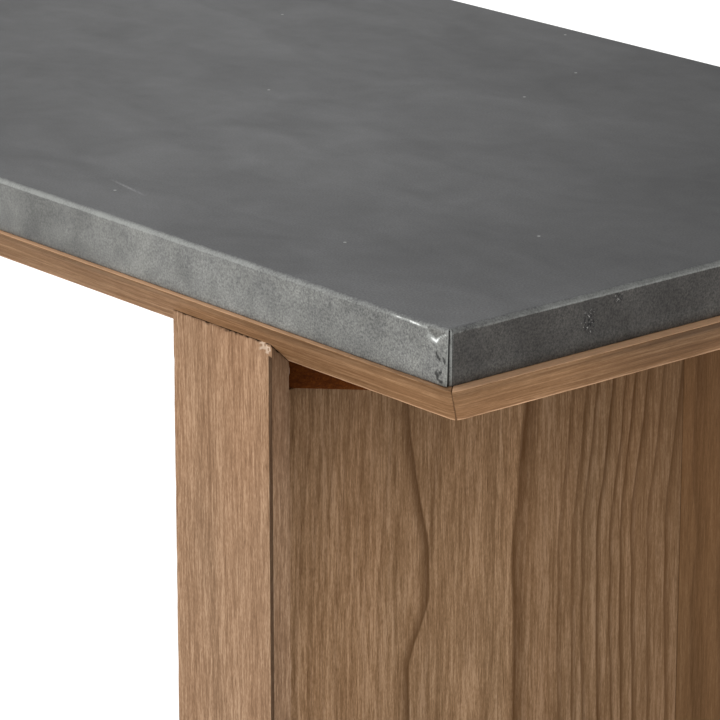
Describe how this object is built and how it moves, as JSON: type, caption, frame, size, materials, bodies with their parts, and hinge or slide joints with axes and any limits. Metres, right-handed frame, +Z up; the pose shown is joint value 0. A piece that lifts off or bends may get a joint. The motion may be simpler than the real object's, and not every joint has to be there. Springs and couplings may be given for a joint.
{
  "type": "garden bench",
  "caption": "Backless garden bench: zinc-clad slab seat on a mitred wooden frame with an undercut bevel, carried by slab legs with narrow end boards.",
  "frame": {"origin": "on the floor, under the centre of the seat", "axes": "+X along the seat, +Y from front to back, +Z up"},
  "size_m": [1.4, 0.45, 0.45],
  "materials": {
    "zinc": "patinated, satin",
    "frame_wood": "brushed, dull oil",
    "leg_wood": "brushed, dull oil",
    "dark_wood": "dark stained",
    "core_wood": "raw board",
    "joint_wood": "raw beech",
    "steel": "zinc-plated",
    "brass": "turned",
    "glide_plastic": "moulded nylon"
  },
  "bodies": {
    "root": {"zinc_cover": "zinc", "zinc_pins": "zinc", "core_board": "core_wood", "frame_front": "frame_wood", "frame_back": "frame_wood", "frame_left": "frame_wood", "frame_right": "frame_wood", "mitre_splines": "joint_wood", "batten_left": "frame_wood", "batten_centre": "frame_wood", "batten_right": "frame_wood", "batten_dowels": "joint_wood", "frame_screws": "steel", "left_web_wide": "leg_wood", "left_web_narrow": "leg_wood", "left_web_tongue": "joint_wood", "left_cap_front": "leg_wood", "left_cap_back": "leg_wood", "left_cap_dowels": "joint_wood", "left_mounting_plate": "dark_wood", "left_plate_screws": "steel", "left_plate_bolts": "steel", "left_plate_washers": "steel", "left_inserts": "brass", "left_glides": "glide_plastic", "left_glide_screws": "steel", "right_web_wide": "leg_wood", "right_web_narrow": "leg_wood", "right_web_tongue": "joint_wood", "right_cap_front": "leg_wood", "right_cap_back": "leg_wood", "right_cap_dowels": "joint_wood", "right_mounting_plate": "dark_wood", "right_plate_screws": "steel", "right_plate_bolts": "steel", "right_plate_washers": "steel", "right_inserts": "brass", "right_glides": "glide_plastic", "right_glide_screws": "steel"}
  },
  "joints": []
}
